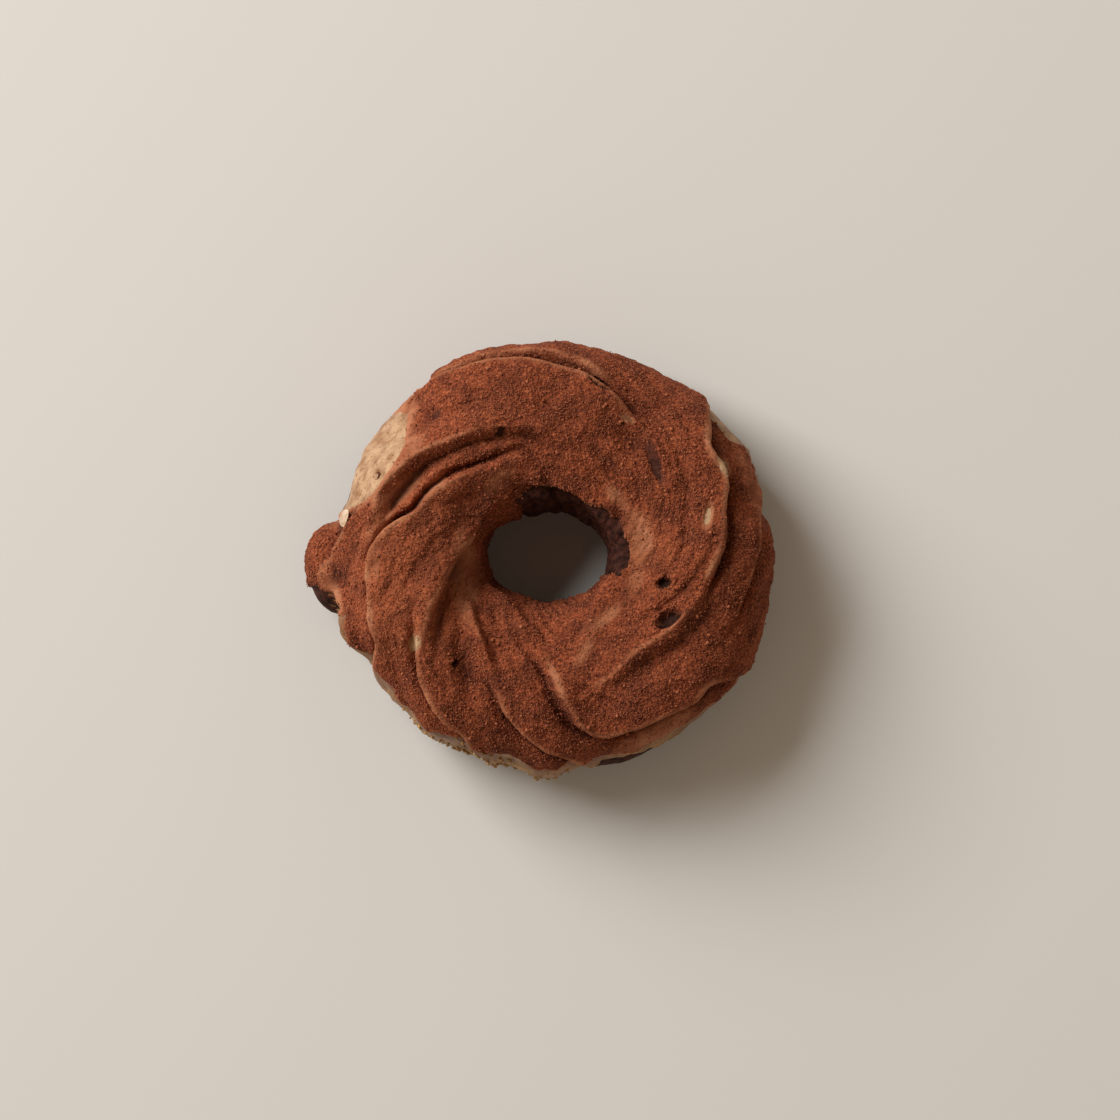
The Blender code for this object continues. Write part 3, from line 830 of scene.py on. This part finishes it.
def glaze_cover(ring):
    """Where there is glaze, from 0 to 1."""
    over = over_rim(ring)
    from_above = ring.plain * (1, 1, 0)
    rim_edge = edge_at(ring, GLAZE_EDGES) + uneven(from_above, GLAZE_EDGE_WAVES)
    rim_edge = rim_edge + uneven(from_above, GLAZE_EDGE_TEETH)
    lip_edge = hole_edge(ring.bearing) + uneven(ring.plain, LIP_EDGE_WAVES)
    past_rim = ramp(over, rim_edge - GLAZE_EDGE_HALF, rim_edge + GLAZE_EDGE_HALF)
    cover = past_rim * (1 - ramp(over, lip_edge - GLAZE_EDGE_HALF, lip_edge + GLAZE_EDGE_HALF))
    bare = patch_strength(ring.points, BARE_DOUGH) + uneven(ring.plain, BARE_DOUGH_WAVES)
    return cover * (1 - ramp(-over, *BARE_DOUGH_TURNS) * ramp(bare, *BARE_DOUGH_SHOWS))


def cocoa_edge(ring):
    """The turn in degrees at which the cocoa stops over the rim."""
    return edge_at(ring, COCOA_EDGES) + uneven(ring.plain * (1, 1, 0), COCOA_EDGE_WAVES)


def edge_at(ring, edges):
    """The turn in degrees of an edge that is given at some bearings."""
    bearings, turns_there = np.array(edges).T
    return np.interp(np.degrees(ring.bearing) % 360, bearings, turns_there, period=360)


def over_rim(ring):
    """The turn in degrees from -90 below the rim over 0 at the rim to 270."""
    over = np.degrees(ring.turn)
    return np.where(over < -90, over + 360, over)


def cocoa_cover(ring, glaze, inside_pit):
    """How thick the cocoa lies, from 0 to 1."""
    ragged = uneven(ring.points, COCOA_RAGS)
    bare = patch_strength(ring.points, BARE_PATCHES) * (1 + RAGGED_BARE * ragged)
    film = np.maximum(patch_strength(ring.points, FILM_PATCHES), LIP_FILM * ring.lips)
    film = np.clip(film * (1 + RAGGED_FILM * ragged), 0, 1)
    drift = ramp(uneven(ring.points, COCOA_DRIFTS), *DRIFT_FROM_TO)
    steep = 1 - ramp(ring.normals[:, 2], *STEEP_FROM_TO)
    cover = COCOA_THICKNESS - bare - FILM_THINS * film - DRIFT_THINS * drift - STEEP_THINS * steep
    cover = np.minimum(cover, ramp(glaze, *GLAZE_HOLDS_COCOA) * COCOA_MOST)
    cover = np.minimum(cover, COCOA_MOST * ramp(over_rim(ring) - cocoa_edge(ring), *COCOA_EDGE_FADE))
    return np.maximum(cover + RAGGED_COVER * ragged, inside_pit)


def valleys(ring):
    """How deep in a valley between folds each point lies, from 0 to 1. It sets where shade is painted into
    the cocoa, and where grains are fewer.
    """
    outward = ring_normal(ring.bearing, ring.turn)
    height = np.einsum("ij,ij->i", ring.points - ring.plain, outward).reshape(ring.shape)
    smooth = height
    for axis, width in ((0, VALLEY_SECTIONS), (1, VALLEY_POINTS)):
        waves_per_cell = np.fft.fftfreq(height.shape[axis])
        keep = np.exp(-2 * (math.pi * width * waves_per_cell) ** 2)
        keep = keep[:, None] if axis == 0 else keep[None, :]
        smooth = np.fft.ifft(np.fft.fft(smooth, axis=axis) * keep, axis=axis).real
    return ramp((smooth - height).ravel(), VALLEY_START, VALLEY_FULL)


def hollow_depth(points):
    """How deep the small hollows are, from 0 to 1. They are dark with dough and painted shade."""
    return ramp(patch_strength(points, HOLLOWS) + uneven(points, HOLLOW_RAGS), *HOLLOW_FROM_TO)


def turns(count, maker):
    """Random rotations."""
    w, x, y, z = unit(maker.normal(size=(count, 4))).T
    return np.stack([
        np.stack([1 - 2 * (y * y + z * z), 2 * (x * y - z * w), 2 * (x * z + y * w)], -1),
        np.stack([2 * (x * y + z * w), 1 - 2 * (x * x + z * z), 2 * (y * z - x * w)], -1),
        np.stack([2 * (x * z - y * w), 2 * (y * z + x * w), 1 - 2 * (x * x + y * y)], -1),
    ], 1)


def make_grains(grains, ring, surface, weights, material, kernel):
    """Many small lumps, joined, each a copy of one kernel with its own size, turn and shade. They lie at
    points of the surface that are chosen by weight."""
    maker = np.random.default_rng(SEED + grains.seed)
    count = grains.count
    chosen = maker.choice(len(surface), count, p=weights / weights.sum())
    size = grains.smallest + (grains.largest - grains.smallest) * maker.random(count) ** 2
    centres = surface[chosen] + maker.normal(size=(count, 3)) * GRAIN_STRAY * MM
    centres += ring.normals[chosen] * (size * GRAIN_LIFT)[:, None]
    stretch = 1 + GRAIN_STRETCH * maker.uniform(-1, 1, (count, 1, 3))
    corners = kernel_points(kernel)
    shaped = corners[None] * stretch * (1 + grains.roughness * maker.uniform(-1, 1, (count, len(corners), 1)))
    shaped = np.einsum("nij,nkj->nki", turns(count, maker), shaped) * size[:, None, None]
    places = (shaped + centres[:, None]).reshape(-1, 3)
    faces = kernel_faces(kernel)[None] + (np.arange(count) * len(corners))[:, None, None]
    mesh = bpy.data.meshes.new(grains.name)
    mesh.vertices.add(len(places))
    mesh.loops.add(faces.size)
    mesh.polygons.add(faces.size // 3)
    mesh.loops.foreach_set("vertex_index", faces.ravel().astype(np.int32))
    mesh.polygons.foreach_set("loop_start", np.arange(0, faces.size, 3, dtype=np.int32))
    mesh.update(calc_edges=True)
    shade = np.repeat(maker.random(count), len(corners))
    new_piece(grains.name, mesh, places, material, shade=shade)


def kernel_mesh(subdivisions):
    bpy.ops.mesh.primitive_ico_sphere_add(subdivisions=subdivisions, radius=1.0)
    ball = bpy.context.object
    mesh = ball.data
    bpy.data.objects.remove(ball)
    return mesh


def kernel_points(mesh):
    return read(mesh.vertices, "co", 3)


def kernel_faces(mesh):
    return read(mesh.loops, "vertex_index", 1, np.int32).reshape(-1, 3)


def octahedron_mesh():
    """A grain's plain form, two pyramids base to base."""
    model = bmesh.new()
    bmesh.ops.create_uvsphere(model, u_segments=4, v_segments=2, radius=1.0)
    mesh = bpy.data.meshes.new("grain")
    model.to_mesh(mesh)
    model.free()
    return mesh


def new_material(name, roughness, bump_size, bump_height, coat=0.0, scatter=0.0):
    material = bpy.data.materials.new(name)
    material.use_nodes = True
    tree = material.node_tree
    shader = tree.nodes["Principled BSDF"]
    shader.inputs["Roughness"].default_value = roughness
    shader.inputs["Coat Weight"].default_value = coat
    shader.inputs["Coat Roughness"].default_value = 0.25
    if scatter:
        shader.inputs["Subsurface Weight"].default_value = scatter
        shader.inputs["Subsurface Radius"].default_value = (1.0, 0.5, 0.25)
        shader.inputs["Subsurface Scale"].default_value = 0.8 * MM
    grain = add_noise(tree, bump_size, 3.0)
    bump = tree.nodes.new("ShaderNodeBump")
    bump.inputs["Strength"].default_value = 1.0
    bump.inputs["Distance"].default_value = bump_height
    tree.links.new(grain, bump.inputs["Height"])
    tree.links.new(bump.outputs["Normal"], shader.inputs["Normal"])
    return material, tree, shader


def add_noise(tree, size, detail=2.0):
    place = tree.nodes.new("ShaderNodeTexCoord")
    grain = tree.nodes.new("ShaderNodeTexNoise")
    grain.inputs["Scale"].default_value = 1 / size
    grain.inputs["Detail"].default_value = detail
    tree.links.new(place.outputs["Object"], grain.inputs["Vector"])
    return grain.outputs["Fac"]


def add_shade(tree, name):
    shade = tree.nodes.new("ShaderNodeAttribute")
    shade.attribute_name = name
    return shade.outputs["Fac"]


def add_ramp(tree, value, *stops):
    """Colours along a value."""
    colours = tree.nodes.new("ShaderNodeValToRGB")
    while len(colours.color_ramp.elements) < len(stops):
        colours.color_ramp.elements.new(0.5)
    for element, (position, colour) in zip(colours.color_ramp.elements, stops):
        element.position = position
        element.color = (*colour, 1.0)
    tree.links.new(value, colours.inputs["Fac"])
    return colours.outputs["Color"]


def add_mix(tree, share, first, second, blend="MIX"):
    mix = tree.nodes.new("ShaderNodeMix")
    mix.data_type = "RGBA"
    mix.blend_type = blend
    if isinstance(share, float):
        mix.inputs["Factor"].default_value = share
    else:
        tree.links.new(share, mix.inputs["Factor"])
    tree.links.new(first, mix.inputs["A"])
    tree.links.new(second, mix.inputs["B"])
    return mix.outputs["Result"]


def cocoa_material():
    material, tree, shader = new_material("cocoa", 0.95, 0.55 * MM, 0.42 * MM)
    shader.inputs["Specular IOR Level"].default_value = 0.25
    speckle = add_noise(tree, 0.5 * MM, 2.0)
    mottle = add_noise(tree, 5.0 * MM, 3.0)
    fine = add_ramp(tree, speckle, (0.33, COCOA_DARK), (0.52, COCOA), (0.74, COCOA_LIGHT))
    # Painted light: a lit copy of the cocoa's colours, mixed in where the lobes face the lamp
    painted_lit = add_ramp(tree, speckle, (0.33, COCOA), (0.52, COCOA_LIT), (0.74, COCOA_LIGHT))
    fine = add_mix(tree, add_shade(tree, "light"), fine, painted_lit)
    broad = add_ramp(tree, mottle, (0.35, DRIFT_TINT), (0.57, WHITE))
    colour = add_mix(tree, 1.0, fine, broad, "MULTIPLY")
    thin = add_ramp(tree, mottle, (0.35, COCOA_FILM), (0.65, COCOA_THIN))
    colour = add_mix(tree, add_shade(tree, "thin"), colour, thin)
    # Painted shade: the bubbles' insides, darker than the dough they show
    dark = add_ramp(tree, speckle, (0.3, PIT_DEEP_SHADE), (0.7, PIT_SHADE))
    colour = add_mix(tree, add_shade(tree, "pit"), colour, dark)
    # Painted shade: the cocoa darkened in the valleys between folds
    deep = add_ramp(tree, add_shade(tree, "valley"), (0.0, WHITE), (1.0, VALLEY_SHADE))
    colour = add_mix(tree, 1.0, colour, deep, "MULTIPLY")
    # The hollows: partly the dough that shows, partly painted shade
    shaded_hollow = add_ramp(tree, speckle, (0.3, DOUGH), (0.7, COCOA_DARK))
    colour = add_mix(tree, add_shade(tree, "shaded_hollow"), colour, shaded_hollow)
    tree.links.new(colour, shader.inputs["Base Color"])
    return material


def grain_material():
    material, tree, shader = new_material("cocoa_grain", 0.9, 0.2 * MM, 0.03 * MM)
    shades = (0.0, COCOA_DARK), (0.12, COCOA), (1.0, COCOA_PALE)
    tree.links.new(add_ramp(tree, add_shade(tree, "shade"), *shades), shader.inputs["Base Color"])
    return material


def glaze_material():
    material, tree, shader = new_material("tan_glaze", 0.5, 0.9 * MM, 0.12 * MM, coat=0.08, scatter=0.15)
    shader.inputs["Specular IOR Level"].default_value = 0.25
    mottle = add_noise(tree, 2.6 * MM, 5.0)
    colour = add_ramp(tree, mottle, (0.36, GLAZE), (0.6, GLAZE_PALE))
    yellow = add_ramp(tree, mottle, (0.3, GLAZE_BROWN), (0.7, GLAZE_YELLOW))
    brown = add_ramp(tree, mottle, (0.3, GLAZE_DARK), (0.7, GLAZE_TAN))
    # Paler where the glaze has its own paler colour or a painted highlight
    colour = add_mix(tree, add_shade(tree, "pale"), brown, colour)
    colour = add_mix(tree, add_shade(tree, "low"), colour, yellow)
    speck = add_noise(tree, 0.55 * MM, 2.0)
    specks = add_ramp(tree, speck, (0.6, WHITE), (0.68, SPECK_TINT))
    colour = add_mix(tree, 1.0, colour, specks, "MULTIPLY")
    tree.links.new(colour, shader.inputs["Base Color"])
    return material


def dough_material():
    material, tree, shader = new_material("chocolate_dough", 0.65, 0.7 * MM, 0.25 * MM)
    shader.inputs["Specular IOR Level"].default_value = 0.06
    mottle = add_noise(tree, 1.2 * MM, 4.0)
    colour = add_ramp(tree, mottle, (0.35, DOUGH_DARK), (0.7, DOUGH))
    tree.links.new(colour, shader.inputs["Base Color"])
    return material


def crumb_material():
    material, tree, shader = new_material("glaze_crumb", 0.7, 0.5 * MM, 0.1 * MM, scatter=0.2)
    shades = (0.0, GLAZE_BROWN), (0.4, GLAZE_YELLOW), (1.0, GLAZE_PALE)
    tree.links.new(add_ramp(tree, add_shade(tree, "shade"), *shades), shader.inputs["Base Color"])
    return material


def make_layers():
    """The glaze, the cocoa, their grains and crumbs, and the chip."""
    fine = Ring(SECTIONS, SECTION_POINTS)
    depth, inside_pit = pit_depth(fine.points, fine.normals[:, 2])
    shaded_hollow = hollow_depth(fine.points)
    surface = fine.points - fine.normals * (depth + HOLLOW_DEPTH * shaded_hollow)[:, None]
    glaze = glaze_cover(fine)
    cover = cocoa_cover(fine, glaze, inside_pit)
    shown = ramp(cover, *COCOA_SHOWS)
    # Valley depth: painted shade in the cocoa, and fewer grains
    valley = valleys(fine)
    glaze_points = make_glaze(fine, surface, glaze, shown)
    # Shades for the cocoa's material, all with painted shade; the bubbles and hollows also show the dough's
    # own dark colour
    shades = dict(pit=inside_pit, shaded_hollow=shaded_hollow, valley=valley)
    cocoa_points = make_cocoa(fine, surface, glaze, cover, shown, shades)
    areas, height = vertex_areas(fine.mesh), fine.points[:, 2]
    weights = areas * np.clip(cover, LEAST_COVER, 1.0) ** 3 * (height > GRAIN_HEIGHT)
    weights = weights * (1 - VALLEY_LOSS * valley) * ramp(fine.normals[:, 2], *GRAIN_SLOPES)
    weights = weights * (1 - inside_pit) * (1 - HOLLOW_LOSS * shaded_hollow) * ramp(glaze, *GRAIN_GLAZE)
    grain = grain_material()
    octahedron = octahedron_mesh()
    make_grains(DUST, fine, cocoa_points, weights, grain, octahedron)
    make_grains(GRAINS, fine, cocoa_points, weights, grain, octahedron)
    make_grains(CLUMPS, fine, cocoa_points, weights, grain, kernel_mesh(2))
    crumbs = areas * patch_strength(fine.points, CRUMB_PATCHES) * (height > CRUMB_HEIGHT)
    make_grains(CRUMBS, fine, glaze_points, crumbs, crumb_material(), kernel_mesh(3))
    make_chip(fine)


def make_glaze(ring, surface, glaze, shown):
    """The layer of glaze, left out where it ends and where cocoa hides it. Gives back its points."""
    below = 1 - ramp(glaze, *GLAZE_ENDS)
    low = ramp(-ring.points[:, 2], *LOW_GLAZE) * patch_strength(ring.points, YELLOW_PATCHES)
    lumps = (GLAZE_LUMP + LOW_GLAZE_LUMP * low) * MM * uneven(ring.points, GLAZE_LUMPS)
    # Paler glaze: partly its own colour, partly a painted highlight on glossy bare spots
    pale = np.clip(patch_strength(ring.points, PALE_AND_HIGHLIGHT_PATCHES), 0, 1)
    points = surface + ring.normals * (GLAZE_LEVEL - GLAZE_DROP * below + lumps)[:, None]
    new_piece("tan_glaze", ring.mesh, clear_of_floor(points), glaze_material(),
              keep=(glaze > 0.05) & (shown < 0.98), low=low, pale=pale)
    return points


def make_cocoa(ring, surface, glaze, cover, shown, shades):
    """The crust of cocoa, whose edges dive under the layers below. Gives back its points."""
    below = 1 - ramp(glaze, *GLAZE_ENDS)
    crumbly = uneven(ring.points, COCOA_CLODS) + uneven(ring.points, COCOA_CRUMBLE)
    thin = 1 - ramp(cover, *COCOA_IS_FULL)
    # Painted light: where the cocoa is made lighter on slopes that face the lamp
    light = np.clip(patch_strength(ring.points, PAINTED_LIGHT_PATCHES), 0, 1)
    edge_drop = (COCOA_DROP + GLAZE_DROP * below) * (1 - shown)
    height = COCOA_LEVEL - edge_drop + crumbly * (1 - THIN_IS_SMOOTHER * thin)
    points = surface + ring.normals * height[:, None]
    new_piece("cocoa_crust", ring.mesh, clear_of_floor(points), cocoa_material(),
              keep=shown > 0.02, thin=thin, light=light, **shades)
    return points


def make_chip(ring):
    """A thin curved flake of glaze that lies where the part has its chip."""
    mesh = kernel_mesh(5)
    corners = kernel_points(mesh)
    corners = corners * (1 + uneven(corners, CHIP_UNEVENNESS))[:, None]
    bend = CHIP_CUPPING * corners[:, 1] ** 2 - CHIP_DROOP * corners[:, 0] ** 2
    corners[:, 2] = CHIP_THINNESS * corners[:, 2] + bend + CHIP_RAISE
    heading = math.radians(CHIP.heading)
    aside = np.linalg.norm(ring.points[:, :2] - centre_of(CHIP), axis=1) + MM * (ring.normals[:, 2] < 0)
    nearest = np.argmin(aside)
    length = np.array([math.cos(heading), math.sin(heading), 0.0])
    outward = np.array([-math.sin(heading), math.cos(heading), 0.0])
    leaning = CHIP_STEEPNESS * ring.normals[nearest] + (0.0, 0.0, 1.0 - CHIP_STEEPNESS)
    normal = unit(leaning + CHIP_ROLL * outward)
    length = unit(length - normal * (length @ normal))
    axes = np.array([length, np.cross(normal, length), normal])
    sizes = np.array([CHIP.half_length, CHIP.half_width, CHIP.depth]) * MM
    places = (corners * sizes) @ axes + ring.points[nearest] + normal * CHIP_CLEARANCE
    new_piece("glaze_chip", mesh, places, chip_material())


def chip_material():
    material, tree, shader = new_material("cream_chip", 0.6, 0.6 * MM, 0.05 * MM, scatter=0.2)
    mottle = add_noise(tree, 0.9 * MM, 3.0)
    colour = add_ramp(tree, mottle, (0.35, GLAZE_PALE), (0.55, CREAM))
    tree.links.new(colour, shader.inputs["Base Color"])
    return material


def vertex_areas(mesh):
    """A share of the faces' area for each point."""
    areas = read(mesh.polygons, "area", 1)
    corners = read(mesh.loops, "vertex_index", 1, np.int32)
    per_face = len(corners) // len(areas)
    return np.bincount(corners, np.repeat(areas / per_face, per_face), len(mesh.vertices))


def clear_of_floor(points):
    points = points.copy()
    points[:, 2] = np.maximum(points[:, 2], 0.0)
    return points


def make_dough():
    """The dough under the glaze, a little sunk where the layers hide it."""
    coarse = Ring(DOUGH_SECTIONS, DOUGH_SECTION_POINTS)
    depth, _ = pit_depth(coarse.points, coarse.normals[:, 2])
    porous = uneven(coarse.points, DOUGH_PORES)
    in_hole = ramp(coarse.round(), LIP_EDGE - 4, LIP_EDGE + 8)
    bare_wall = ramp(hole_edge(coarse.bearing), HOLE_EDGE - 5, LIP_EDGE) * in_hole
    sunk = DOUGH_SINK * ramp(coarse.normals[:, 2], *UNDERSIDE) * (1 - bare_wall) - WALL_SWELL * bare_wall
    points = coarse.points + coarse.normals * (porous - sunk - depth)[:, None]
    new_piece("dough", coarse.mesh, clear_of_floor(points), dough_material())


def make_floor():
    bpy.ops.mesh.primitive_plane_add(size=4.0)
    floor = bpy.context.object
    floor.name = "floor"
    material = bpy.data.materials.new("floor")
    material.use_nodes = True
    shader = material.node_tree.nodes["Principled BSDF"]
    shader.inputs["Base Color"].default_value = (*FLOOR, 1.0)
    shader.inputs["Roughness"].default_value = 0.6
    floor.data.materials.append(material)


def add_window():
    """The large soft lamp, turned to the part."""
    light = bpy.data.lights.new("window", "AREA")
    light.size = WINDOW_SIZE
    light.energy = WINDOW_POWER
    light.color = WINDOW_COLOUR
    lamp = bpy.data.objects.new("window", light)
    lamp.location = WINDOW_PLACE
    lamp.rotation_euler = (-Vector(WINDOW_PLACE)).to_track_quat("-Z", "Y").to_euler()
    bpy.context.scene.collection.objects.link(lamp)


def light_scene():
    """The lamp, and light from all round that changes with height."""
    add_window()
    world = bpy.data.worlds.new("room")
    world.use_nodes = True
    tree = world.node_tree
    direction = tree.nodes.new("ShaderNodeTexCoord")
    parts = tree.nodes.new("ShaderNodeSeparateXYZ")
    tree.links.new(direction.outputs["Generated"], parts.inputs["Vector"])
    colour = add_ramp(tree, parts.outputs["Z"], (0.55, ROOM), (0.95, OVERHEAD))
    tree.links.new(colour, tree.nodes["Background"].inputs["Color"])
    tree.nodes["Background"].inputs["Strength"].default_value = 1.0
    scene = bpy.context.scene
    scene.world = world
    scene.view_settings.view_transform = "Standard"


def add_camera():
    camera = bpy.data.cameras.new("camera")
    camera.lens = LENS
    camera.sensor_width = SENSOR
    viewer = bpy.data.objects.new("camera", camera)
    viewer.location = (AXIS_X + CAMERA_ASIDE, AXIS_Y - CAMERA_ASIDE, CAMERA_HEIGHT)
    bpy.context.scene.collection.objects.link(viewer)
    bpy.context.scene.camera = viewer


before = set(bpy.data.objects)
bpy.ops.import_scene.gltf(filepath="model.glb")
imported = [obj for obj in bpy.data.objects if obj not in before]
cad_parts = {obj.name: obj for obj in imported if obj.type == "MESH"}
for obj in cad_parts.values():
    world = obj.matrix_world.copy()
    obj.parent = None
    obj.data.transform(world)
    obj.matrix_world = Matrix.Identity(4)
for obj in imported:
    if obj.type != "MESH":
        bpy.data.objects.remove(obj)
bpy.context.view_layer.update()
make_dough()
make_layers()
make_floor()
light_scene()
add_camera()
